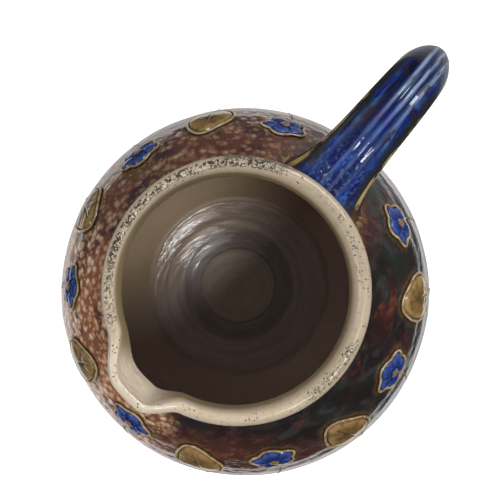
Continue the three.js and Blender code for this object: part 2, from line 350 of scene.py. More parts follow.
off_lip = np.abs(turned_from(angles, lip_angle)) * rim_radius
pulled_thin = (1 - smoothstep(off_lip, *thinned_beside)) * smoothstep(-crest_distance, *thinned_inside)
pulled_thin *= smoothstep(heights, jug_height - lip_depth, jug_height - thinned_full_depth)
thrown = by_hand(angles, radii, heights)
thrown[:, 0] += math.cos(lip_angle) * lip_thinning * pulled_thin
thrown[:, 1] += math.sin(lip_angle) * lip_thinning * pulled_thin
shifted = smoothstep(-crest_distance, 0, throat_shift_run)
shifted *= smoothstep(heights, jug_height - throat_shift_depth, jug_height)
thrown[:, 0] += throat_shift * math.cos(throat_shift_angle) * shifted
thrown[:, 1] += throat_shift * math.sin(throat_shift_angle) * shifted
lift = unevenness(thrown)
off_crest = smoothstep(np.abs(crest_distance), *uneven_from_crest)
lift *= smoothstep(heights, *uneven_from_foot) * lerp(uneven_on_crest, 1, off_crest)
thrown += np.stack([np.cos(angles) * out_r, np.sin(angles) * out_r, out_z], axis=1) * lift[:, None]
underside_middle = [0, 0, 0]
floor_middle = [0, 0, floor_thickness]
points = np.concatenate([thrown, [underside_middle, floor_middle]])

body = mesh_object("jug_body", points, capped_rings(rows, body_sides))

# Which way each look of the glaze lies, round from the handle, and towards which sides light is painted into
# the brown glaze outside and into the glaze inside
brown_side = math.radians(101)
painted_light_side = math.radians(150)
burnt_side = math.radians(30)
red_side = math.radians(214)
lit_side_inside = math.radians(78)

# Where on the rim the salt crust lies, from one angle to another in degrees, and how thick
crusted = [
    (20.6, 120.6, 1.0),
    (110.6, 150.6, 0.6),
    (150.6, 190.6, 0.24),
    (190.6, 240.6, 0.16),
    (250.6, 290.6, 0.55),
    (-49.4, 10.6, 0.34),
]
crust_fade = 8
degrees = np.mod(np.degrees(angles), 360)
crust = np.zeros(len(angles))
for start, end, amount in crusted:
    middle, half = (start + end) / 2, (end - start) / 2
    off = np.abs(np.mod(degrees - middle + 180, 360) - 180)
    crust = np.maximum(crust, amount * (1 - smoothstep(off, half - crust_fade, half + crust_fade)))
paint(body, "from_crest", np.append(crest_distance, [-1, -1]))
paint(body, "brown", np.append(np.cos(angles - brown_side), [0, 0]))
paint(body, "crust", np.append(crust, [0, 0]))
paint(body, "inside", np.append((crest_distance < 0).astype(float), [0, 1]))


def material(name):
    made = bpy.data.materials.new(name)
    made.use_nodes = True
    return made, made.node_tree, made.node_tree.nodes["Principled BSDF"]


def feed(tree, socket, value):
    """Links a socket to another one, or sets its value. A colour is a linear red, green and blue."""
    if isinstance(value, bpy.types.NodeSocket):
        tree.links.new(value, socket)
    elif socket.type == "RGBA":
        socket.default_value = (*value, 1)
    else:
        socket.default_value = value


def node(tree, kind, settings=None, family="ShaderNode", **inputs):
    """Adds a node. Inputs are named in small letters with _ for a space, and take a value or a socket."""
    made = tree.nodes.new(family + kind)
    for name, value in (settings or {}).items():
        setattr(made, name, value)
    for name, value in inputs.items():
        label = name.replace("_", " ").title()
        feed(tree, next(socket for socket in made.inputs if socket.enabled and socket.name == label), value)
    return made


def stored(tree, name, output="Fac"):
    return node(tree, "Attribute", {"attribute_name": name}).outputs[output]


def squeezed(tree, place, scale):
    """The same place, squeezed along the axes whose scale is under 1 so that a pattern runs along them."""
    return node(tree, "Mapping", vector=place, scale=scale).outputs[0]


def object_place(tree):
    return node(tree, "TexCoord").outputs["Object"]


def cloudy(tree, place, size, detail=2.0, roughness=0.5, distortion=0.0):
    """Soft noise whose blots are about the given size in metres."""
    look = {"detail": detail, "roughness": roughness, "distortion": distortion}
    return node(tree, "TexNoise", vector=place, scale=1 / size, **look).outputs[0]


def cells(tree, place, size, smoothness=1.0):
    """Round cells about the given size in metres: 0 in the middle of each."""
    soft = {"feature": "SMOOTH_F1"}
    made = node(tree, "TexVoronoi", soft, vector=place, scale=1 / size, smoothness=smoothness)
    return made.outputs["Distance"]


def rises(tree, value, low, high, to_min=0.0, to_max=1.0):
    """Goes smoothly from to_min at low to to_max at high."""
    ends = {"from_min": low, "from_max": high, "to_min": to_min, "to_max": to_max}
    return node(tree, "MapRange", {"interpolation_type": "SMOOTHSTEP"}, value=value, **ends).outputs[0]


def maths(tree, operation, first, *others):
    """An operation on one number, or on several one after the other."""
    total = first
    for other in others or (0.0,):
        made = node(tree, "Math", {"operation": operation})
        feed(tree, made.inputs[0], total)
        feed(tree, made.inputs[1], other)
        total = made.outputs[0]
    return total


def times(tree, *values):
    return maths(tree, "MULTIPLY", *values)


def plus(tree, *values):
    return maths(tree, "ADD", *values)


def rest_of(tree, share):
    return maths(tree, "SUBTRACT", 1.0, share)


def near(tree, value, middle, most, least):
    """1 where the value is within the least distance of the middle, and 0 beyond the most."""
    return rises(tree, maths(tree, "ABSOLUTE", maths(tree, "SUBTRACT", value, middle)), most, least)


def vector_maths(tree, operation, *values, output="Vector"):
    made = node(tree, "VectorMath", {"operation": operation})
    for socket, value in zip(made.inputs, values):
        feed(tree, socket, value)
    return made.outputs[output]


def towards(tree, place, angle):
    """How far a place lies from the axis towards an angle round the pot."""
    way = (math.cos(angle), math.sin(angle), 0)
    return vector_maths(tree, "DOT_PRODUCT", place, way, output="Value")


def blend(tree, share, first, second, mode="MIX"):
    """Mixes two colours, each a socket or a linear red, green and blue."""
    made = node(tree, "Mix", {"data_type": "RGBA", "blend_type": mode})
    for index, value in ((0, share), (6, first), (7, second)):
        feed(tree, made.inputs[index], value)
    return made.outputs[2]


def even(tree, share, first, second):
    """Mixes two numbers."""
    made = node(tree, "Mix")
    for index, value in ((0, share), (2, first), (3, second)):
        feed(tree, made.inputs[index], value)
    return made.outputs[0]


def finish_with(tree, glaze, colour, roughness, ior, relief, depth):
    """Sets a glaze's colour, roughness and gloss, and its relief at the given depth in metres."""
    feed(tree, glaze.inputs["Base Color"], colour)
    feed(tree, glaze.inputs["Roughness"], roughness)
    glaze.inputs["IOR"].default_value = ior
    feed(tree, glaze.inputs["Normal"], node(tree, "Bump", height=relief, distance=depth).outputs[0])


def brown_glaze(tree, place, grain):
    """Red-brown ground that thins to buff over each mound of the salt's orange peel, with light painted in
    towards one side. Gives the mounds too.
    """
    red_brown, plum, olive_brown = (0.118, 0.048, 0.034), (0.056, 0.028, 0.034), (0.115, 0.072, 0.026)
    rust, buff = (0.30, 0.110, 0.050), (0.46, 0.205, 0.100)
    # The flecks, then the brighter ones that show where light is painted in
    dull_flecks = (0.38, 0.232, 0.128), (0.46, 0.338, 0.225)
    bright_flecks = (0.78, 0.49, 0.25), (0.92, 0.72, 0.53)
    mound_size, small_mound_size = 0.0030, 0.0019
    push = (0.0013, 0.0013, 0.0013)

    warp = node(tree, "TexNoise", vector=place, scale=220.0, detail=1.0).outputs["Color"]
    tall = squeezed(tree, vector_maths(tree, "MULTIPLY_ADD", warp, push, place), (1, 1, 0.70))
    mound = rises(tree, cells(tree, tall, mound_size, 0.40), 0.62, 0.12)
    small_mound = rises(tree, cells(tree, tall, small_mound_size, 0.3), 0.48, 0.10)
    # Painted light: towards the side where light falls most on the brown glaze, the ground turns rust, the
    # mounds more buff, and the flecks show more and brighter. The flecks themselves are the glaze's own.
    painted_light = rises(tree, towards(tree, place, painted_light_side), 0.020, 0.058)

    ground = blend(tree, rises(tree, cloudy(tree, place, 0.013, 3), 0.42, 0.62), red_brown, plum)
    ground = blend(tree, rises(tree, cloudy(tree, place, 0.019, 2), 0.54, 0.70), ground, olive_brown)
    rusty = rises(tree, cloudy(tree, place, 0.016, 2), 0.66, 0.48)
    ground = blend(tree, times(tree, painted_light, rusty, 0.8), ground, rust)
    colour = blend(tree, times(tree, mound, even(tree, painted_light, 0.30, 0.90)), ground, buff)

    thin = rises(tree, cloudy(tree, place, 0.009, 3, 0.6), 0.36, 0.60)
    depth = cloudy(tree, place, 0.0042, 2)
    large_dots = times(tree, mound, rises(tree, depth, 0.24, 0.58))
    small_dots = times(tree, small_mound, rises(tree, depth, 0.66, 0.40))
    showing = even(tree, painted_light, times(tree, thin, 0.8), even(tree, thin, 0.65, 1.0))
    dots = maths(tree, "MAXIMUM", large_dots, small_dots)
    dots = times(tree, dots, showing, rises(tree, grain, 0.15, 0.50))
    pale = rises(tree, depth, 0.35, 0.65)
    fleck = blend(tree, painted_light, blend(tree, pale, *dull_flecks), blend(tree, pale, *bright_flecks))
    return blend(tree, dots, colour, fleck), mound


def dark_glaze(tree, place, drift, from_root):
    """Black-brown and grey-green, with smoke and with soft red and orange mottles in patches."""
    black_brown, grey_green, slate = (0.014, 0.009, 0.009), (0.017, 0.020, 0.018), (0.014, 0.013, 0.028)
    smoke_grey, ember = (0.050, 0.050, 0.048), (0.22, 0.075, 0.032)
    deep_red, orange_red = (0.048, 0.011, 0.010), (0.085, 0.022, 0.014)

    dark = blend(tree, rises(tree, cloudy(tree, place, 0.018, 2), 0.40, 0.62), black_brown, grey_green)
    dark = blend(tree, rises(tree, cloudy(tree, place, 0.021, 2, 0.5, 0.4), 0.56, 0.70), dark, slate)
    smoke = rises(tree, cloudy(tree, place, 0.011, 3, 0.50, 1.2), 0.46, 0.68)
    dark = blend(tree, times(tree, smoke, 0.5), dark, smoke_grey)

    drifting = times(tree, drift, 0.02)
    red = rises(tree, plus(tree, towards(tree, place, red_side), drifting), 0.055, 0.070)
    at_root = rises(tree, plus(tree, from_root, drifting), 0.028, 0.017, 0.0, 0.8)
    patch = rises(tree, cloudy(tree, place, 0.014, 3, 0.6, 0.5), 0.50, 0.70)
    patch = maths(tree, "MAXIMUM", patch, times(tree, red, 0.9), at_root)
    dark = blend(tree, times(tree, patch, 0.85), dark, blend(tree, red, deep_red, orange_red))
    spark = times(tree, patch, rises(tree, cloudy(tree, place, 0.0040, 3, 0.6), 0.47, 0.72))
    return blend(tree, times(tree, spark, even(tree, red, 0.45, 0.75)), dark, ember)


def ochre_runs(tree, place, colour, grain, from_root):
    """Ochre glaze that ran from the handle's root and from the slip, with a dark line against each trail."""
    brown_run, gold_run = (0.075, 0.030, 0.010), (0.60, 0.36, 0.13)
    thick_ochre, thin_ochre, dark_line = (0.10, 0.055, 0.014), (0.20, 0.13, 0.05), (0.022, 0.011, 0.006)

    runs = cloudy(tree, squeezed(tree, place, (1, 1, 0.35)), 0.0035, 2)
    root_run = rises(tree, plus(tree, from_root, times(tree, runs, 0.014)), 0.0140, 0.0070)
    gold = blend(tree, rises(tree, runs, 0.44, 0.58), brown_run, gold_run)
    colour = blend(tree, times(tree, root_run, 0.9), colour, gold)
    from_slip = stored(tree, "from_slip")
    slip_run = rises(tree, plus(tree, from_slip, times(tree, runs, 0.004)), 0.0058, 0.0018)
    colour = blend(tree, times(tree, slip_run, 0.55), colour, blend(tree, grain, thick_ochre, thin_ochre))
    return blend(tree, times(tree, rises(tree, from_slip, 0.0018, 0.0008), 0.45), colour, dark_line)


def cream_glaze(tree, place, crest, in_lip):
    """Cream, olive towards the throat with painted shade there, and painted light towards the lip and in its
    basin, with crusted dark pits and a burnt streak. Gives the crust too.
    """
    dull_cream, light_cream, lip_cream_in_painted_light = (0.415, 0.334, 0.236), (0.478, 0.392, 0.288), (0.630, 0.535, 0.425)
    olive_cloud, throat_olive_and_shade = (0.345, 0.290, 0.180), (0.205, 0.150, 0.075)
    crust_black, burnt_grey = (0.045, 0.036, 0.026), (0.060, 0.048, 0.038)
    pinhole_brown = (0.09, 0.065, 0.040)
    painted_light_to_lip = 2.6  # how much lighter the cream is painted for each metre towards the lip, as painted light

    cream = blend(tree, cloudy(tree, place, 0.006, 3), dull_cream, light_cream)
    cream = blend(tree, rises(tree, cloudy(tree, place, 0.0016, 3), 0.54, 0.72), cream, olive_cloud)
    # Olive towards the throat, and darkened there as painted shade where the rim turns down into the mouth
    cream = blend(tree, rises(tree, crest, -0.0034, -0.0074, 0.0, 0.9), cream, throat_olive_and_shade)
    # Painted light: the cream is lighter towards the lip, where more light falls, and lighter still in the
    # lip's basin, which faces the lamps.
    lighter = plus(tree, times(tree, towards(tree, place, lip_angle), painted_light_to_lip), 1.0)
    cream = blend(tree, 1.0, cream, lighter, "MULTIPLY")
    cream = blend(tree, times(tree, in_lip, 0.8), cream, lip_cream_in_painted_light)

    band = times(tree, rises(tree, crest, -0.0020, -0.0006), rises(tree, crest, 0.0026, 0.0016))
    pits = rises(tree, cloudy(tree, place, 0.0012, 3, 0.65, 0.8), 0.49, 0.545)
    crusting = times(tree, band, pits, rises(tree, stored(tree, "crust"), 0.15, 0.95))
    cream = blend(tree, crusting, cream, crust_black)
    streak = times(tree, rises(tree, crest, 0.0012, 0.0022), rises(tree, crest, 0.0050, 0.0036))
    on_burnt_side = rises(tree, towards(tree, place, burnt_side), 0.0445, 0.0465)
    broken = rises(tree, cloudy(tree, place, 0.0022, 3, 0.6), 0.36, 0.52)
    cream = blend(tree, times(tree, streak, on_burnt_side, broken, 0.85), cream, burnt_grey)
    holes = rises(tree, cells(tree, place, 0.0026, 0.0), 0.15, 0.08)
    pinholes = times(tree, holes, rises(tree, cloudy(tree, place, 0.008, 2), 0.44, 0.58))
    on_top = rises(tree, crest, -0.0028, -0.0014)
    return blend(tree, times(tree, pinholes, on_top, 0.8), cream, pinhole_brown), crusting


def stony_glaze(tree, place, on_floor):
    """The thicker, greyer glaze inside, brushed in rings on the floor, painted in a lit and a shaded copy.
    Gives its streaks and relief too.
    """
    # Each pair holds the colour for the side away from the lamps, then a darker, yellower one for the side
    # they light: painted light and shade.
    shaded_side_stone = (0.435, 0.352, 0.340), (0.485, 0.397, 0.380)
    lit_side_stone = (0.238, 0.172, 0.112), (0.290, 0.214, 0.142)
    low_brush = (0.325, 0.262, 0.252), (0.225, 0.172, 0.122)
    high_brush = (0.440, 0.365, 0.355), (0.325, 0.258, 0.190)
    disc_stone = (0.34, 0.272, 0.205), (0.44, 0.358, 0.280)
    moat_grey, dark_ring, pale_ring = (0.17, 0.135, 0.120), (0.12, 0.095, 0.075), (0.62, 0.54, 0.46)
    iron_spot = (0.07, 0.05, 0.035)
    line_turn, streak_turn = (0.05, 0.05, 0), (0.28, 0.28, 0)

    # Painted light and shade: the side the lamps light inside is painted darker and yellower, the side away
    # from them brighter and greyer.
    olive = rises(tree, towards(tree, place, lit_side_inside), -0.010, 0.030)
    cool = blend(tree, cloudy(tree, place, 0.012, 3), *shaded_side_stone)
    stone = blend(tree, olive, cool, blend(tree, cloudy(tree, place, 0.009, 3), *lit_side_stone))
    stone = blend(tree, rises(tree, cloudy(tree, place, 0.0016, 2), 0.74, 0.78), stone, iron_spot)

    # A pattern that follows the distance from the axis, and the angle a little, runs round as the brush did
    across = vector_maths(tree, "MULTIPLY", place, (1, 1, 0))
    from_axis = vector_maths(tree, "LENGTH", across, output="Value")
    round_axis = node(tree, "CombineXYZ", x=from_axis).outputs[0]
    brush_place = vector_maths(tree, "MULTIPLY_ADD", across, line_turn, round_axis)
    lines = cloudy(tree, brush_place, 0.0022, 3, 0.7)
    wide_lines = cloudy(tree, brush_place, 0.0045, 2)
    streak_place = vector_maths(tree, "MULTIPLY_ADD", across, streak_turn, round_axis)
    streaks = cloudy(tree, streak_place, 0.0020, 3, 0.60)

    disc = rises(tree, from_axis, 0.0175, 0.0130)
    moat = times(tree, rises(tree, from_axis, 0.0235, 0.0215), rest_of(tree, disc))
    brushed = blend(
        tree, rises(tree, lines, 0.38, 0.62), blend(tree, olive, *low_brush), blend(tree, olive, *high_brush)
    )
    stone = blend(tree, times(tree, on_floor, 0.9), stone, brushed)
    stone = blend(tree, times(tree, on_floor, disc, 0.85), stone, blend(tree, wide_lines, *disc_stone))
    stone = blend(tree, times(tree, on_floor, moat, 0.75), stone, moat_grey)
    ring_line = near(tree, from_axis, 0.0152, 0.0008, 0.0002)
    ring_line = times(tree, ring_line, on_floor, rises(tree, wide_lines, 0.30, 0.55), 0.7)
    stone = blend(tree, ring_line, stone, dark_ring)
    edge_line = near(tree, from_axis, 0.0355, 0.0009, 0.0002)
    edge_line = times(tree, edge_line, on_floor, rises(tree, wide_lines, 0.35, 0.65), 0.25)
    stone = blend(tree, edge_line, stone, pale_ring)
    off_disc = rises(tree, from_axis, 0.0180, 0.0215, 0.15, 0.9)
    return stone, streaks, times(tree, on_floor, off_disc, plus(tree, lines, streaks, wide_lines))


def bare_clay(tree, place, height, under):
    """Buff clay, toasted where the glaze stops. Gives where it lies bare and the cutting wire's strokes."""
    buff_clay = (0.40, 0.29, 0.19), (0.30, 0.21, 0.135)
    iron_speck, toasted, in_stroke = (0.06, 0.035, 0.02), (0.26, 0.105, 0.04), (0.235, 0.160, 0.098)

    stop = plus(tree, height, times(tree, cloudy(tree, place, 0.012, 3), -0.005))
    clay = blend(tree, cloudy(tree, place, 0.0008, 3, 0.7), *buff_clay)
    clay = blend(tree, rises(tree, cloudy(tree, place, 0.0009, 1), 0.70, 0.74), clay, iron_speck)
    clay = blend(tree, rises(tree, stop, -0.0010, 0.0040), clay, toasted)
    wire = cloudy(tree, squeezed(tree, place, (0.05, 1, 1)), 0.0020, 3, 0.6, 0.3)
    clay = blend(tree, times(tree, under, rises(tree, wire, 0.42, 0.62), 0.45), clay, in_stroke)
    return clay, rises(tree, stop, 0.0048, 0.0038), wire


def body_finish():
    painted_shade_under_rim = (0.030, 0.014, 0.010)
    made, tree, glaze = material("salt_glaze_on_body")
    place = object_place(tree)
    height = node(tree, "SeparateXYZ", vector=place).outputs["Z"]
    crest = stored(tree, "from_crest")
    inside = stored(tree, "inside")
    outside = rest_of(tree, inside)
    from_root = stored(tree, "from_root")
    grain = cloudy(tree, place, 0.0011, 3, 0.6)
    drift = cloudy(tree, place, 0.030, 3)
    in_lip = rises(tree, towards(tree, place, lip_angle), 0.040, 0.048)
    on_floor = times(tree, inside, rises(tree, height, 0.0130, 0.0108))
    under = times(tree, outside, rises(tree, height, 0.0006, 0.0002))

    frayed = plus(tree, times(tree, drift, 0.9), times(tree, cloudy(tree, place, 0.007, 3, 0.6), 0.5))
    brown = rises(tree, plus(tree, stored(tree, "brown"), frayed), 0.44, 0.92)
    brown_colour, mound = brown_glaze(tree, place, grain)
    cream, crusting = cream_glaze(tree, place, crest, in_lip)
    stone, streaks, scratches = stony_glaze(tree, place, on_floor)
    clay, bare_foot, wire = bare_clay(tree, place, height, under)
    bare = times(tree, outside, bare_foot)

    wall_colour = blend(tree, brown, dark_glaze(tree, place, drift, from_root), brown_colour)
    wall_colour = ochre_runs(tree, place, wall_colour, grain, from_root)
    edge = plus(tree, crest, times(tree, cloudy(tree, place, 0.004, 2), 0.0014))
    # Painted shade: a dark brown band just under the cream rim, where its roll overhangs the shoulder.
    wall_colour = blend(tree, rises(tree, edge, 0.0120, 0.0095), wall_colour, painted_shade_under_rim)
    on_rim = rises(tree, edge, 0.0090, 0.0080)
    outer = blend(tree, on_rim, wall_colour, cream)
    inner = blend(tree, rises(tree, crest, -0.0130, -0.0210), cream, stone)
    colour = blend(tree, bare, blend(tree, inside, outer, inner), clay)

    wet_streaks = times(tree, on_floor, rises(tree, streaks, 0.46, 0.54))
    roughness = even(tree, on_rim, even(tree, grain, 0.13, 0.24), even(tree, in_lip, 0.25, 0.06))
    roughness = even(tree, inside, roughness, even(tree, wet_streaks, 0.30, 0.06))
    roughness = even(tree, bare, roughness, 0.85)

    on_wall = times(tree, outside, rises(tree, crest, 0.0085, 0.0110), rest_of(tree, bare))
    on_dark = times(tree, on_wall, rest_of(tree, brown))
    shoulder = rises(tree, height, 0.098, 0.120, 0.25, 1.0)
    peel = times(tree, mound, on_wall, shoulder, even(tree, brown, 0.15, 1.0))
    graininess = even(tree, maths(tree, "MAXIMUM", on_dark, inside), 0.28, 0.04)
    lip_dimples = times(tree, in_lip, cells(tree, place, 0.0030), 2.0)
    waves = times(tree, on_dark, cloudy(tree, place, 0.0060, 2, 0.5, 0.6), 2.2)
    relief = plus(tree, peel, times(tree, grain, graininess), times(tree, crusting, -1.2), lip_dimples, waves)
    relief = plus(tree, relief, scratches, times(tree, under, wire, 1.8))
    finish_with(tree, glaze, colour, roughness, 1.48, relief, 0.00022)
    return made


body.data.materials.append(body_finish())
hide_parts("thrown_body")
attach(body, "root")


# Salt crust on the rim
# Where the salt vapour struck the rim hardest it left dark glassy beads, some of them merged, in a band just
# inside the outer edge.
beads_per_area = 1.5e6
bead_spacing = 0.00045
bead_least = (0.00016, 0.00016, 0.00008)
bead_most = (0.00050, 0.00038, 0.00020)
bead_seed = 7
turn_seed = 3
full_turn = 6.28
clusters_close = 160  # how close together the clusters of beads lie: more is closer
cluster_edge = 0.25
band_inner_edge = (-0.0024, -0.0012)  # measured outwards from the crest, like the next one
band_outer_edge = (0.0012, 0.0024)


def grower(name, numbers):
    """A new node tree that takes the named numbers and a glaze, with its inputs and its output socket."""
    tree = bpy.data.node_groups.new(name, "GeometryNodeTree")
    face = tree.interface
    face.new_socket("Geometry", in_out="INPUT", socket_type="NodeSocketGeometry")
    for label, value in numbers.items():
        kind = {int: "Int", float: "Float", tuple: "Vector"}[type(value)]
        face.new_socket(label, in_out="INPUT", socket_type="NodeSocket" + kind).default_value = value
    face.new_socket("Glaze", in_out="INPUT", socket_type="NodeSocketMaterial")
    face.new_socket("Geometry", in_out="OUTPUT", socket_type="NodeSocketGeometry")
    start, end = tree.nodes.new("NodeGroupInput"), tree.nodes.new("NodeGroupOutput")
    return tree, start.outputs, end.inputs["Geometry"]


def growing(tree, kind, settings=None, family="GeometryNode", **inputs):
    return node(tree, kind, settings, family, **inputs)


def dressed(tree, shape, glaze):
    """The end of each tree: smooth faces, real instances and the material."""
    smooth = growing(tree, "SetShadeSmooth", geometry=shape)
    real = growing(tree, "RealizeInstances", geometry=smooth.outputs[0])
    return growing(tree, "SetMaterial", geometry=real.outputs[0], material=glaze).outputs[0]


def grown(name, base, tree, inputs):
    """Runs a node tree on a base object and keeps the result as a plain mesh."""
    modifier = base.modifiers.new(name, "NODES")
    modifier.node_group = tree
    for socket in tree.interface.items_tree:
        if socket.item_type == "SOCKET" and socket.in_out == "INPUT" and socket.name in inputs:
            modifier[socket.identifier] = inputs[socket.name]
    graph = bpy.context.evaluated_depsgraph_get()
    mesh = bpy.data.meshes.new_from_object(base.evaluated_get(graph))
    mesh.name = name
    bpy.data.objects.remove(base)
    return placed(name, mesh)


def bead_tree():
    """Spreads beads over the surface by its stored crust, flattened onto it and turned at random."""
    numbers = {
        "Density": beads_per_area,
        "Spacing": bead_spacing,
        "Least": bead_least,
        "Most": bead_most,
        "Seed": bead_seed,
    }
    of_vectors = {"data_type": "FLOAT_VECTOR"}
    tree, start, end = grower("salt_beads", numbers)
    where_beaded = growing(tree, "InputNamedAttribute", name="beaded")
    spread = growing(
        tree,
        "DistributePointsOnFaces",
        {"distribute_method": "POISSON"},
        mesh=start["Geometry"],
        distance_min=start["Spacing"],
        density_max=start["Density"],
        density_factor=where_beaded.outputs[0],
        seed=start["Seed"],
    )
    bead = growing(tree, "MeshIcoSphere", radius=1.0, subdivisions=1)
    sizes = {"min": start["Least"], "max": start["Most"], "seed": start["Seed"]}
    size = growing(tree, "RandomValue", of_vectors, "FunctionNode", **sizes)
    spin = growing(tree, "RandomValue", of_vectors, "FunctionNode", max=(0, 0, full_turn), seed=turn_seed)
    way = growing(
        tree,
        "RotateRotation",
        {"rotation_space": "LOCAL"},
        "FunctionNode",
        rotation=spread.outputs["Rotation"],
        rotate_by=spin.outputs["Value"],
    )
    laid = growing(
        tree,
        "InstanceOnPoints",
        points=spread.outputs["Points"],
        instance=bead.outputs["Mesh"],
        rotation=way.outputs[0],
        scale=size.outputs["Value"],
    )
    tree.links.new(dressed(tree, laid.outputs[0], start["Glaze"]), end)
    return tree


def bead_finish():
    black_glass, brown_glass = (0.012, 0.008, 0.006), (0.085, 0.060, 0.038)
    made, tree, glaze = material("salt_beads_on_rim")
    colour = blend(tree, cloudy(tree, object_place(tree), 0.0014, 2), black_glass, brown_glass)
    feed(tree, glaze.inputs["Base Color"], colour)
    glaze.inputs["Roughness"].default_value = 0.06
    glaze.inputs["IOR"].default_value = 1.5
    return made


rim = placed("rim", body.data.copy())
banded = smoothstep(crest_distance, *band_inner_edge) * (1 - smoothstep(crest_distance, *band_outer_edge))
clustered = [noise.noise(Vector(place) * clusters_close) for place in thrown]
beaded = banded * crust * smoothstep(np.array(clustered), -cluster_edge, cluster_edge)
paint(rim, "beaded", np.append(beaded, [0, 0]))
rim_beads = grown("rim_salt_crust", rim, bead_tree(), {"Glaze": bead_finish()})
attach(rim_beads, "root")


# Pulled handle
# A strap of clay pulled by hand, with ribs drawn along it by the fingers, luted under the rim and onto the
# belly. It is dipped in cobalt, which thins over the ribs and turns olive and ochre along both edges.
handle_width = 0.0245
handle_bend_width = 0.019
handle_end_width = 0.017
handle_crown = 0.010
crown_roundness = 0.75  # less is flatter on top and squarer at the edges
handle_palm = 0.0035
handle_reach = 0.107
handle_bend_height = 0.112
handle_root_height = 0.144
handle_top_rise = 0.013
handle_foot_height = 0.060
root_spread = 0.29
spread_length = 0.015
fillet_spread = 0.12  # how much the clay swells where it is smoothed onto the wall
fillet_length = 0.005
fillet_start = 0.003  # up to how far from the strap's end the swelling is full
fillet_thickening = 0.6
root_depth = 0.0025  # how deep the roots are pressed into the wall
rib_count = 3
rib_pitch = 0.0034
rib_height = 0.0009
ribs_off_middle = -0.0014
rib_edge = 0.15  # how soon the outer ribs run out into the plain strap, in rib widths
rib_wander = 0.12  # how far the fingers wandered along the strap, in rib widths
rib_swell = 0.25  # how much a rib's height varies along it
wander_close = 60  # how close together the wandering and the swelling change: more is closer
swell_close = 45
ribs_at_root = 0.35  # how much of a rib's height is left at the root
ribs_at_bend = 0.15
ribs_rise = (0.062, 0.084)  # between which distances from the axis the ribs rise, and where they fade
ribs_fade = (0.088, 0.104)
edge_bead = 0.0008
edge_bead_end = 0.083
edge_bead_fade = 0.01
edge_bead_place = 0.9  # as a share of the strap's half width, like the next one
edge_bead_width = 0.07
fillet_below = 0.004  # how much thicker the strap is where it is smoothed onto the wall
fillet_above = 0.002
hand_marks = 0.00014  # how far the strap's surface wanders where hands smoothed it
wide_marks_close = 90
fine_marks_close = 260
handle_rows = 240
handle_sides = 112
root_row = 8  # the row of the strap's points, from either end, that lies at the wall


def handle_line():
    root = neck_radius - wall / 2
    end = belly_radius - wall
    arch = handle_root_height + handle_top_rise
    over = curve(
        (root, handle_root_height),
        (lerp(root, handle_reach, 0.42), arch + 0.55 * handle_top_rise),
        (handle_reach, lerp(arch, handle_bend_height, 0.12)),
        (handle_reach, handle_bend_height),
    )
    back = curve(
        (handle_reach, handle_bend_height),
        (handle_reach, lerp(handle_bend_height, handle_foot_height, 0.62)),
        (lerp(end, handle_reach, 0.45), handle_foot_height),
        (end, handle_foot_height),
    )
    return np.concatenate([over, back[1:]])


line = handle_line()
line_run = lengths(line)
stops = np.linspace(0, line_run[-1], handle_rows)
spine = np.stack([np.interp(stops, line_run, line[:, k]) for k in range(2)], axis=1)
heading = np.gradient(spine, axis=0)
heading /= np.linalg.norm(heading, axis=1)[:, None]
share_along = stops / line_run[-1]
widths = np.polyfit([0, 0.5, 1], [handle_width, handle_bend_width, handle_end_width], 2)
widths = np.polyval(widths, share_along)
from_end = np.minimum(stops, line_run[-1] - stops)
spread = root_spread * np.exp(-((from_end / spread_length) ** 2))
fillet = fillet_spread * np.exp(-((np.maximum(0, from_end - fillet_start) / fillet_length) ** 2))

crown_sides = handle_sides * 3 // 4
crown_turn = np.linspace(0, np.pi, crown_sides, endpoint=False)
palm_turn = np.linspace(np.pi, 2 * np.pi, handle_sides - crown_sides, endpoint=False)
on_crown = np.arange(handle_sides) < crown_sides
share = np.concatenate([np.cos(crown_turn), np.cos(palm_turn)])
hump = np.clip(1 - share**2, 0, 1)
edge_ridge = edge_bead * np.exp(-(((np.abs(share) - edge_bead_place) / edge_bead_width) ** 2))
handle_points, handle_rib = [], []
for row in range(handle_rows):
    reach = spine[row, 0]
    x = widths[row] / 2 * share
    rib_phase = (x - ribs_off_middle) / rib_pitch
    on_ribs = 1 - smoothstep(np.abs(rib_phase), rib_count / 2 - rib_edge, rib_count / 2 + rib_edge)
    wander = rib_wander * noise.noise(Vector((0, 0, stops[row] * wander_close)))
    rib = (0.5 + 0.5 * np.cos(2 * np.pi * (rib_phase + wander) + np.pi * (rib_count + 1))) * on_ribs
    swell = 1 + rib_swell * noise.noise(Vector((3, 0, stops[row] * swell_close)))
    drawn = lerp(ribs_at_root, 1, smoothstep(reach, *ribs_rise))
    drawn *= lerp(1, ribs_at_bend, smoothstep(reach, *ribs_fade))
    beaded = 1 - smoothstep(reach, edge_bead_end - edge_bead_fade, edge_bead_end)
    crown = handle_crown * hump**crown_roundness + rib_height * rib * swell * drawn + edge_ridge * beaded
    out = np.where(on_crown, crown, -handle_palm * np.sqrt(hump))
    sideways = x * (1 + spread[row] * share**2 + fillet[row])
    thicker = np.where(out < 0, -fillet_below, fillet_above) * fillet[row] / fillet_spread
    out = out * (1 + fillet_thickening * fillet[row]) + thicker
    direction = np.array([-heading[row, 1], heading[row, 0]])
    places = np.stack([reach + direction[0] * out, sideways, spine[row, 1] + direction[1] * out], axis=1)
    wide_marks = np.array([noise.noise(Vector(place) * wide_marks_close) for place in places])
    fine_marks = np.array([noise.noise(Vector(place) * fine_marks_close) for place in places])
    marks = hand_marks * (wide_marks + 0.5 * fine_marks)
    places[:, 0] += direction[0] * marks
    places[:, 2] += direction[1] * marks
    handle_points.append(places)
    handle_rib.append(rib)

ends = [handle_points[0].mean(axis=0), handle_points[-1].mean(axis=0)]
points = np.concatenate([*handle_points, ends])

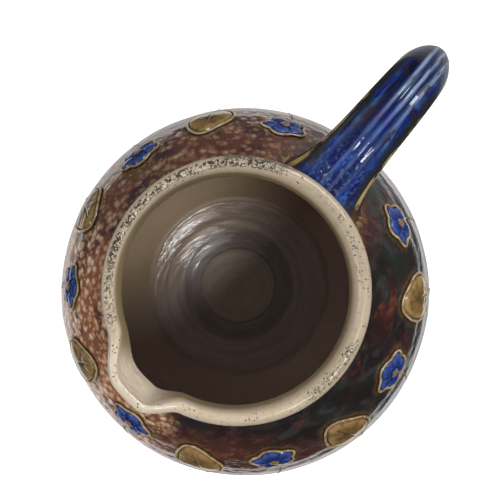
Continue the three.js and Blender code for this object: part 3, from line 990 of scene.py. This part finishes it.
# The roots stop inside the wall, short of the hollow
wall_side = np.concatenate([outer_wall(), rim_side()[1:]])
from_axis = points[:, :2] - np.stack(leaned(points[:, 2]), axis=1)
radius = np.linalg.norm(from_axis, axis=1)
least = np.interp(points[:, 2], wall_side[:, 1], wall_side[:, 0]) - root_depth
points[:, :2] += from_axis * (np.maximum(radius, least) / radius - 1)[:, None]
faces = capped_rings(handle_rows, handle_sides)
handle = mesh_object("ribbed_handle", points, faces)
across_all = np.append(np.tile(share, handle_rows), [0, 0])
along_all = np.append(np.repeat(stops, handle_sides), [0, line_run[-1]])
paint(handle, "across", across_all)
paint(handle, "rib", np.append(np.concatenate(handle_rib), [0, 0]))
paint(handle, "along", along_all)
paint(handle, "strap", np.stack([across_all * handle_width / 2, along_all, points[:, 2] * 0.15], axis=1))


def handle_finish():
    """Cobalt with teal and violet, dark between the ribs, thin and grey along their tops with a painted sheen
    there, and ochre at both edges.
    """
    deep_blue, cobalt, light_blue = (0.004, 0.008, 0.085), (0.014, 0.044, 0.270), (0.052, 0.170, 0.430)
    teal_blue, violet, night_blue = (0.085, 0.190, 0.300), (0.024, 0.008, 0.100), (0.010, 0.014, 0.062)
    pool_blue, ink, rib_grey_and_painted_sheen = (0.004, 0.007, 0.070), (0.003, 0.004, 0.016), (0.26, 0.31, 0.35)
    speck_blue, burnt_brown, olive_black = (0.15, 0.26, 0.46), (0.022, 0.014, 0.014), (0.014, 0.015, 0.010)
    brown_ridge, gold_ridge, amber_brown = (0.045, 0.030, 0.014), (0.44, 0.30, 0.12), (0.10, 0.05, 0.014)

    made, tree, glaze = material("cobalt_glaze_on_handle")
    place = object_place(tree)
    strap = stored(tree, "strap", "Vector")
    long_place = squeezed(tree, strap, (1, 0.10, 1))
    short_place = squeezed(tree, strap, (1, 0.35, 1))
    across = maths(tree, "ABSOLUTE", stored(tree, "across"))
    along = stored(tree, "along")
    rib = stored(tree, "rib")

    streaks = cloudy(tree, long_place, 0.0022, 3, 0.6)
    mottle = cloudy(tree, short_place, 0.0030, 3, 0.65)
    outer_part = rises(tree, along, 0.040, 0.085)
    blue = blend(tree, rises(tree, streaks, 0.36, 0.64), deep_blue, cobalt)
    bright = times(tree, rises(tree, mottle, 0.49, 0.67), rises(tree, outer_part, 1.0, 0.0, 0.30, 0.70))
    blue = blend(tree, bright, blue, light_blue)
    teal = rises(tree, cloudy(tree, long_place, 0.0028, 3, 0.6, 0.4), 0.50, 0.66)
    blue = blend(tree, times(tree, teal, rises(tree, along, 0.018, 0.034), 0.60), blue, teal_blue)
    blue = blend(tree, times(tree, rises(tree, cloudy(tree, place, 0.014, 2), 0.50, 0.68), 0.7), blue, violet)
    blue = blend(tree, times(tree, outer_part, 0.5), blue, night_blue)
    pooled = rises(tree, cloudy(tree, short_place, 0.0060, 2), 0.40, 0.60)
    blue = blend(tree, times(tree, pooled, rises(tree, along, 0.044, 0.020, 0.2, 0.85)), blue, pool_blue)

    # The glaze lies dark between the ribs and thins to grey along their tops, where a pale sheen is painted
    # in as well
    between = times(tree, rises(tree, rib, 0.40, 0.05), rises(tree, across, 0.60, 0.50))
    blue = blend(tree, times(tree, between, rises(tree, along, 0.018, 0.045, 0.25, 0.9)), blue, ink)
    tops = times(tree, rises(tree, rib, 0.50, 0.92), rises(tree, streaks, 0.30, 0.50))
    blue = blend(tree, times(tree, tops, rises(tree, along, 0.030, 0.060, 0.15, 0.85)), blue, rib_grey_and_painted_sheen)
    specks = rises(tree, cloudy(tree, place, 0.0015, 3, 0.6), 0.50, 0.74)
    blue = blend(tree, times(tree, specks, rises(tree, along, 0.036, 0.012), 0.45), blue, speck_blue)
    burnt = rises(tree, cloudy(tree, place, 0.0075, 3, 0.6, 0.5), 0.48, 0.60)
    burnt = times(tree, burnt, rises(tree, across, 0.20, 0.55), rises(tree, along, 0.022, 0.036), 0.85)
    blue = blend(tree, burnt, blue, burnt_brown)

    # Along both edges the cobalt gives way to olive-black and, near the root, to narrow ridges of gold
    wavering = plus(tree, across, times(tree, maths(tree, "SUBTRACT", mottle, 0.5), 0.4))
    blue = blend(tree, times(tree, rises(tree, wavering, 0.62, 0.84), 0.92), blue, olive_black)
    broken = cloudy(tree, squeezed(tree, strap, (0.5, 0.28, 0.5)), 0.0030, 3, 0.6)
    fuller = plus(tree, broken, rises(tree, along, 0.026, 0.008, 0.0, 0.06))
    ochre = blend(tree, rises(tree, fuller, 0.42, 0.58), brown_ridge, gold_ridge)
    inward = plus(tree, across, rises(tree, along, 0.010, 0.030, 0.014, 0.0))
    ridge = times(tree, rises(tree, inward, 0.910, 0.940), rises(tree, across, 0.985, 0.965))
    blue = blend(tree, times(tree, ridge, rises(tree, along, 0.056, 0.040)), blue, ochre)
    amber = rises(tree, plus(tree, along, times(tree, mottle, -0.006)), 0.0065, 0.0010)
    blue = blend(tree, times(tree, amber, 0.8), blue, amber_brown)

    dimples = times(tree, cells(tree, place, 0.0024), rises(tree, along, 0.050, 0.010, 0.30, 0.9))
    swells = times(tree, cloudy(tree, short_place, 0.0040, 2, 0.5), 0.9)
    relief = plus(tree, times(tree, streaks, 0.30), dimples, swells)
    finish_with(tree, glaze, blue, even(tree, mottle, 0.05, 0.13), 1.47, relief, 0.00018)
    return made


handle.data.materials.append(handle_finish())
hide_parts("pulled_handle")
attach(handle, "root")

body_places = [vertex.co for vertex in body.data.vertices]


def searchable(places):
    found = kdtree.KDTree(len(places))
    for index, place in enumerate(places):
        found.insert(Vector(place), index)
    found.balance()
    return found


def distance_to(places):
    """How far each point of the body lies from the nearest of the places."""
    near_places = searchable(places)
    return [near_places.find(place)[2] for place in body_places]


paint(body, "from_root", distance_to([*handle_points[root_row], *handle_points[-1 - root_row]]))


# Applied leaves and flowers
# Thirteen flat pads of clay pressed on the shoulder, a flower and a leaf in turn. Petals and veins are tooled
# in, and the ochre or cobalt glaze pools dark in the tooling and runs thin over the high places.
motif_count = 13
motif_margin = 0.0035
leaf_width = 0.015
leaf_length = 0.024
leaf_height = 0.117
leaf_tilt = math.radians(14)
leaf_point = 0.35
leaf_stem_end = 0.050
flower_radius = 0.007
flower_height = 0.121
flower_tilt = math.radians(8)
petals = 5
petal_depth = 0.11
flower_stem_end = 0.068
pad_rise = 0.0013
pad_edge = 0.0006
pad_flatness = 3.2  # more is flatter on top
pad_tuck = 0.35  # how much the pad's upright edge is pressed down
vein_depth = 0.00027
petal_groove = 0.00035
boss_height = 0.00045
slip_width = 0.0011
slip_rise = 0.00075
stem_sway = 0.006
seat_clearance = 0.0003
pad_sunk = 0.0004  # how deep a pad's edge is pressed into the wall
pad_sides = 90
pad_rings = 20

wall_line = outer_wall()
wall_run = lengths(wall_line)
wall_out = normals_of(wall_line)


def run_at(height):
    return np.interp(height, wall_line[:, 1], wall_run)


def on_wall(angle, height, x, y, lift):
    """A point by an ornament's middle: x goes round the pot, y up the wall and lift out of it, in metres."""
    run = run_at(height) + np.asarray(y, float)
    radius = np.interp(run, wall_run, wall_line[:, 0])
    level = np.interp(run, wall_run, wall_line[:, 1])
    out_r = np.interp(run, wall_run, wall_out[:, 0])
    out_z = np.interp(run, wall_run, wall_out[:, 1])
    round_pot = angle + np.asarray(x, float) / radius
    seat = by_hand(round_pot, radius, level)
    out = np.stack([np.cos(round_pot) * out_r, np.sin(round_pot) * out_r, out_z], axis=-1)
    return seat + out * (np.asarray(lift, float) + unevenness(seat))[:, None]


def leaf_edge(turn):
    half = leaf_width / 2 * (1 - leaf_point * np.cos(turn))
    return np.stack([-half * np.sin(turn), leaf_length / 2 * np.cos(turn)], axis=-1)


def flower_edge(turn):
    radius = flower_radius * (1 + petal_depth * np.cos(petals * turn))
    return np.stack([-radius * np.sin(turn), radius * np.cos(turn)], axis=-1)


def tilted(places, angle):
    turned = np.array([[math.cos(angle), math.sin(angle)], [-math.sin(angle), math.cos(angle)]])
    return places @ turned


def leaf_relief(turn, share):
    """How far the leaf's tooling stands above its plain dome, and how deep the glaze pools there."""
    place = leaf_edge(turn) * share[:, None] / np.array([leaf_width / 2, leaf_length / 2])
    off_middle = np.abs(place[:, 0])
    midrib = np.exp(-((off_middle / 0.050) ** 2)) * (1 - smoothstep(place[:, 1], 0.55, 0.85))
    slant = place[:, 1] - 0.9 * off_middle
    veins = np.exp(-(((np.mod(slant * 2.4 + 0.5, 1) - 0.5) / 0.085) ** 2)) * smoothstep(off_middle, 0.08, 0.2)
    veins *= 1 - smoothstep(share, 0.78, 0.92)
    groove = np.maximum(midrib, 0.5 * veins)
    return -vein_depth * groove, groove


def flower_relief(turn, share):
    """Grooves between the petals, and a small boss in the middle."""
    between = 0.5 - 0.5 * np.cos(petals * turn)
    groove = np.exp(-(((1 - between) * share / 0.07) ** 2)) * smoothstep(share, 0.30, 0.45)
    cup = np.exp(-(((share - 0.33) / 0.07) ** 2))
    boss = 1 - smoothstep(share, 0.20, 0.30)
    cut = np.maximum(groove, cup)
    return boss_height * boss - petal_groove * cut, cut


def clay_pad(name, angle, height, edge, relief, tilt):
    """A pad with a sunk skirt, an upright edge and a domed, tooled top that follows the wall."""
    turn = 2 * np.pi * np.arange(pad_sides) / pad_sides
    skirt = [(0.90, -pad_sunk), (1.0, -pad_sunk), (1.0, 0.0)]
    top = np.cos(np.linspace(0.10, np.pi / 2 * 0.985, pad_rings))
    shares = np.concatenate([[share for share, _ in skirt], top])
    places, pools, across = [], [], []
    for index, share in enumerate(shares):
        ring = np.full(pad_sides, share)
        lift, pool = relief(turn, ring)
        if index < len(skirt):
            rise = np.full(pad_sides, skirt[index][1])
            pool = np.ones(pad_sides)
        else:
            dome = np.sqrt(np.clip(1 - share**pad_flatness, 0, 1))
            rise = seat_clearance + pad_edge + (pad_rise - pad_edge) * dome + lift
            rise = rise * (1 - pad_tuck * smoothstep(share, 0.93, 1.0))
            pool = np.maximum(pool, smoothstep(ring, 0.86, 1.0))
        flat = tilted(edge(turn) * share, tilt)
        places.append(on_wall(angle, height, flat[:, 0], flat[:, 1], rise))
        pools.append(pool)
        across.append(ring)
    middle = np.zeros(1)
    top_rise = seat_clearance + pad_rise + relief(middle, middle)[0]
    middles = [on_wall(angle, height, middle, middle, rise) for rise in (np.full(1, -pad_sunk), top_rise)]
    points = np.concatenate([*places, *middles])
    piece = mesh_object(name, points, capped_rings(len(shares), pad_sides))
    paint(piece, "pool", np.append(np.concatenate(pools), [1, 0]))
    paint(piece, "share", np.append(np.concatenate(across), [0, 0]))
    return piece


def pad_finish(name, thick, middle, thin, boss=None):
    """A glaze that lies thick and dark in the tooling, and thin and light towards the pad's edge."""
    made, tree, glaze = material(name)
    place = object_place(tree)
    uneven = maths(tree, "SUBTRACT", cloudy(tree, place, 0.002, 2), 0.5)
    pool = plus(tree, stored(tree, "pool"), times(tree, uneven, 0.7))
    runs = cloudy(tree, squeezed(tree, place, (1, 1, 0.4)), 0.0034, 2, 0.55)
    share = stored(tree, "share")
    towards_edge = plus(tree, share, times(tree, maths(tree, "SUBTRACT", runs, 0.5), 0.7))
    colour = blend(tree, rises(tree, towards_edge, -0.10, 0.40), thick, middle)
    colour = blend(tree, rises(tree, towards_edge, 0.50, 0.98), colour, thin)
    colour = blend(tree, rises(tree, pool, 0.25, 0.95, 0.0, 0.45), colour, thick)
    mottled = rises(tree, cloudy(tree, place, 0.0040, 3, 0.6), 0.48, 0.66)
    colour = blend(tree, times(tree, mottled, 0.5), colour, thick)
    if boss:
        colour = blend(tree, rises(tree, share, 0.27, 0.23), colour, boss)
    finish_with(tree, glaze, colour, even(tree, runs, 0.05, 0.14), 1.45, cells(tree, place, 0.0024), 0.00010)
    return made


leaf_glaze = pad_finish(
    "ochre_glaze_on_leaves",
    thick=(0.050, 0.040, 0.014),
    middle=(0.195, 0.112, 0.034),
    thin=(0.34, 0.210, 0.080),
)
flower_glaze = pad_finish(
    "cobalt_glaze_on_flowers",
    thick=(0.005, 0.008, 0.045),
    middle=(0.010, 0.030, 0.170),
    thin=(0.045, 0.092, 0.280),
    boss=(0.22, 0.12, 0.035),
)
flower = ("flower", flower_height, flower_edge, flower_tilt, flower_stem_end, flower_relief, flower_glaze)
leaf = ("leaf", leaf_height, leaf_edge, leaf_tilt, leaf_stem_end, leaf_relief, leaf_glaze)

root_half = handle_width / 2 * (1 + root_spread)
flower_half = flower_radius * (1 + petal_depth) + seat_clearance + slip_width
flower_wall = np.interp(run_at(flower_height), wall_run, wall_line[:, 0])
first_angle = (root_half + motif_margin + flower_half) / flower_wall
motif_pitch = (2 * np.pi - 2 * first_angle) / (motif_count - 1)

motifs_placed = []
for index in range(motif_count):
    kind, height, edge, tilt, stem_end, relief, pad_glaze = flower if index % 2 == 0 else leaf
    number = index // 2 + 1
    angle = first_angle + index * motif_pitch
    sways = 1 if index < motif_count / 2 else -1
    pad = clay_pad(f"{kind}_pad_{number}", angle, height, edge, relief, -sways * tilt)
    pad.data.materials.append(pad_glaze)
    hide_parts(f"{kind}_{number}")
    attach(pad, "root")
    motifs_placed.append((kind, number, angle, height, edge, -sways * tilt, stem_end, sways))


# Trailed slip
# Cream slip squeezed from a bulb round each leaf and flower, with a stem that sways down the wall and thins
# out where the trail was lifted. Round the pad it stands proud under the glaze. The stem has sunk into it.
slip_swell = 0.16  # how much the trail's width wavers, as a share of it
slip_swell_size = 0.005
slip_step = 0.0006
slip_sides = 12
ring_points = 96
stem_sunk = 0.0004  # how far a stem has sunk into the glaze below its ring
stem_width = 0.55  # a stem's width below its ring, as a share of the ring's
stem_taper = 0.35  # how much more of the ring's width is gone at the stem's end


def trail_tree():
    """Sweeps a round section along a trail, with a width that wavers and thins to the stem's end."""
    numbers = {"Slip Width": slip_width, "Swell": slip_swell, "Swell Size": slip_swell_size}
    tree, start, end = grower("slip_trail", numbers)
    thread = growing(tree, "MeshToCurve", mesh=start["Geometry"])
    wide = growing(tree, "InputNamedAttribute", name="trail_width")
    waver = node(tree, "TexNoise", scale=maths(tree, "DIVIDE", 1.0, start["Swell Size"])).outputs[0]
    swell = times(tree, maths(tree, "SUBTRACT", waver, 0.5), start["Swell"])
    radius = times(tree, plus(tree, swell, 1.0), wide.outputs[0], start["Slip Width"], 0.5)
    section = growing(tree, "CurvePrimitiveCircle", resolution=slip_sides, radius=1.0)
    sweep = growing(
        tree,
        "CurveToMesh",
        curve=thread.outputs[0],
        profile_curve=section.outputs[0],
        scale=radius,
        fill_caps=True,
    )
    tree.links.new(dressed(tree, sweep.outputs[0], start["Glaze"]), end)
    return tree


def slip_finish():
    """Cream where the trail stands proud, and brown down its sides and where it sinks."""
    thick_ochre, cream, stain = (0.24, 0.150, 0.070), (0.46, 0.36, 0.22), (0.16, 0.085, 0.03)
    sunk_brown, side_brown = (0.075, 0.042, 0.022), (0.100, 0.052, 0.024)
    made, tree, glaze = material("glazed_cream_slip")
    place = object_place(tree)
    sinking = stored(tree, "sinking")
    cloud = cloudy(tree, place, 0.0035, 3, 0.6)
    colour = blend(tree, rises(tree, cloud, 0.36, 0.62), thick_ochre, cream)
    colour = blend(tree, rises(tree, cloudy(tree, place, 0.0016, 2), 0.60, 0.72), colour, stain)
    colour = blend(tree, times(tree, sinking, 0.85), colour, sunk_brown)
    colour = blend(tree, rises(tree, stored(tree, "stands"), 0.50, 0.0), colour, side_brown)
    roughness = even(tree, sinking, even(tree, cloud, 0.07, 0.16), 0.5)
    finish_with(tree, glaze, colour, roughness, 1.45, cloudy(tree, place, 0.0012, 2), 0.00008)
    return made


def outwards_from(edge, turn):
    along = edge(turn + 1e-3) - edge(turn - 1e-3)
    along /= np.linalg.norm(along, axis=-1, keepdims=True)
    return np.stack([along[..., 1], -along[..., 0]], axis=-1)


slip_glaze = slip_finish()
trail = trail_tree()
slip_gap = seat_clearance + slip_width / 2
slip_middle_lift = seat_clearance + slip_rise - slip_width / 2
ring_turn = np.linspace(0, 2 * np.pi, ring_points, endpoint=False)
slip_points = []
for kind, number, angle, height, edge, tilt, stem_end, sways in motifs_placed:
    ringed = tilted(edge(ring_turn) + slip_gap * outwards_from(edge, ring_turn), tilt)
    low = np.full(1, np.pi)
    start = tilted(edge(low) + slip_gap * outwards_from(edge, low), tilt)[0]
    down = tilted(outwards_from(edge, low), tilt)[0]
    drop = run_at(height) - run_at(stem_end)
    third = (drop + start[1]) / 3
    stem = curve(start, start + third * down, (sways * stem_sway, third - drop), (0, -drop))
    stem = spaced(stem, slip_step)
    flat = np.concatenate([ringed, stem])
    tail = np.linspace(0, 1, len(stem))
    thinning = lerp(1, stem_width, smoothstep(tail, 0, 0.12)) - stem_taper * smoothstep(tail, 0.4, 1.0)
    widths = np.concatenate([np.ones(ring_points), thinning])
    sunk = np.concatenate([np.zeros(ring_points), stem_sunk * smoothstep(tail, 0.05, 0.3)])
    lifts = slip_middle_lift - (1 - widths) * slip_width / 2 - sunk
    places = on_wall(angle, height, flat[:, 0], flat[:, 1], lifts)
    edges = [(k, (k + 1) % ring_points) for k in range(ring_points)]
    edges += [(k, k + 1) for k in range(ring_points, len(flat) - 1)]
    thread = bpy.data.meshes.new("trail")
    thread.from_pydata([tuple(place) for place in places], edges, [])
    base = placed("trail", thread)
    paint(base, "trail_width", widths)
    inputs = {"Slip Width": slip_width, "Swell": slip_swell, "Glaze": slip_glaze}
    piece = grown(f"slip_round_{kind}_{number}", base, trail, inputs)

    # Each point of the trail remembers how far it stands out of the wall, and whether it is on the stem
    middles = searchable(places)
    lifted = on_wall(angle, height, flat[:, 0], flat[:, 1], lifts + 0.001)
    sinks = np.concatenate([np.zeros(ring_points), smoothstep(tail, 0.0, 0.06)])
    stands, sinking = [], []
    for vertex in piece.data.vertices:
        index = middles.find(vertex.co)[1]
        out = Vector(lifted[index] - places[index]).normalized()
        stands.append((vertex.co - Vector(places[index])).dot(out) / (slip_width / 2))
        sinking.append(sinks[index])
    paint(piece, "stands", stands)
    paint(piece, "sinking", sinking)
    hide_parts(f"{kind}_{number}_slip")
    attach(piece, "root")
    slip_points.extend(places)

paint(body, "from_slip", distance_to(slip_points))


# Floor, surroundings and light
# A plain pale floor in a white room. Two soft lamps hang overhead, one stands low on the brown side, and one
# beyond the handle draws the pale lines along its ribs.
floor_half = 3.0
floor_level = -0.0002  # just clear of the base
paper_white = 0.80  # how bright the floor looks to the camera by itself
paper_mirrored = 0.33  # how bright it is in the glaze
paper_far = 0.045  # and further off
paper_far_handle = 0.32
paper_reach = 0.125  # how far the bright paper shows in the glaze on the dark side
paper_reach_brown = 0.116
paper_fade = 0.012  # over what distance it dims there
paper_fade_brown = 0.045
brown_lamp_azimuth = 139
white = (1, 1, 1)


def mixed(tree, share, first, second):
    made = node(tree, "MixShader", fac=share)
    tree.links.new(first.outputs[0], made.inputs[1])
    tree.links.new(second.outputs[0], made.inputs[2])
    return made


def floor_finish():
    """Matt and pale, and as bright as paper to the camera and in the glaze."""
    made, tree, _ = material("pale_floor")
    tree.nodes.clear()
    path = node(tree, "LightPath").outputs
    mirrored = maths(tree, "MAXIMUM", path["Is Glossy Ray"], path["Is Transmission Ray"])
    seen = plus(tree, times(tree, path["Is Camera Ray"], paper_white), times(tree, mirrored, paper_mirrored))
    both = node(tree, "AddShader")
    tree.links.new(node(tree, "BsdfDiffuse", color=(0.6, 0.6, 0.6)).outputs[0], both.inputs[0])
    tree.links.new(node(tree, "Emission", color=white, strength=seen).outputs[0], both.inputs[1])

    place = object_place(tree)
    away = vector_maths(tree, "LENGTH", place, output="Value")
    side = maths(tree, "DIVIDE", towards(tree, place, math.radians(brown_lamp_azimuth)), away)
    over = maths(tree, "DIVIDE", node(tree, "SeparateXYZ", vector=place).outputs["X"], away)
    under_handle = rises(tree, over, 0.86, 0.96)
    reach = rises(tree, side, -0.1, 0.9, paper_reach, paper_reach_brown)
    fade = rises(tree, side, -0.1, 0.9, paper_fade, paper_fade_brown)
    beyond = maths(tree, "DIVIDE", maths(tree, "SUBTRACT", away, reach), fade)
    far = times(tree, rises(tree, beyond, 0.0, 1.0), path["Is Glossy Ray"])
    dim = node(tree, "Emission", color=white, strength=even(tree, under_handle, paper_far, paper_far_handle))
    output = node(tree, "OutputMaterial")
    tree.links.new(mixed(tree, far, both, dim).outputs[0], output.inputs["Surface"])
    return made


corners = [(-1, -1), (1, -1), (1, 1), (-1, 1)]
corners = [(floor_half * x, floor_half * y, floor_level) for x, y in corners]
ground = mesh_object("floor", corners, [[0, 1, 2, 3]], smooth=False)
ground.data.materials.append(floor_finish())


def soft_lamp(name, azimuth, elevation, distance, width, height, brightness, mirrored=True):
    """A rectangular lamp that faces the jug. Its brightness is the light it sends out, where 1 is white."""
    lamp = bpy.data.lights.new(name, "AREA")
    lamp.shape = "RECTANGLE"
    lamp.size = width
    lamp.size_y = height
    lamp.energy = brightness * math.pi * width * height
    made = placed(name, lamp)
    a, e = math.radians(azimuth), math.radians(elevation)
    out = Vector((math.cos(a) * math.cos(e), math.sin(a) * math.cos(e), math.sin(e)))
    made.location = Vector((0, 0, 0.1)) + out * distance
    made.rotation_mode = "QUATERNION"
    made.rotation_quaternion = out.to_track_quat("Z", "Y")
    made.visible_glossy = mirrored


soft_lamp("overhead_lamp", -97, 67, 1.25, 0.30, 0.30, 23.5, mirrored=False)
soft_lamp("overhead_lamp_core", -97, 67.5, 1.20, 0.34, 0.24, 22.0)
soft_lamp("brown_side_lamp", brown_lamp_azimuth, 24, 1.2, 0.8, 0.40, 5.8)
soft_lamp("handle_lamp", 2, 29, 1.1, 0.5, 0.28, 15.0)


def room_light():
    """White to the camera and dim to the jug. The glaze mirrors its walls, brighter low on the brown side."""
    world = bpy.data.worlds.new("white_room")
    world.use_nodes = True
    tree = world.node_tree
    tree.nodes.clear()
    path = node(tree, "LightPath").outputs
    way = node(tree, "TexCoord").outputs["Generated"]
    split = node(tree, "SeparateXYZ", vector=way).outputs
    low = rises(tree, split["Z"], 0.34, 0.20)
    wall_glow = rises(tree, towards(tree, way, math.radians(brown_lamp_azimuth)), -0.2, 0.8, 0.10, 0.55)
    beyond_handle = times(tree, rises(tree, split["X"], 0.60, 0.90), rises(tree, split["Z"], 0.75, 0.50), 1.2)
    glow = plus(tree, even(tree, low, 0.20, wall_glow), beyond_handle)
    mirrored = node(tree, "Background", color=(0.97, 0.97, 1.0), strength=glow)
    ambient = node(tree, "Background", color=white, strength=0.15)
    backdrop = node(tree, "Background", color=white, strength=1.0)
    shiny = maths(tree, "MAXIMUM", path["Is Glossy Ray"], path["Is Transmission Ray"])
    room = mixed(tree, path["Is Camera Ray"], mixed(tree, shiny, ambient, mirrored), backdrop)
    output = node(tree, "OutputWorld")
    tree.links.new(room.outputs[0], output.inputs["Surface"])
    return world


bpy.context.scene.world = room_light()
bpy.context.scene.view_settings.view_transform = "Standard"
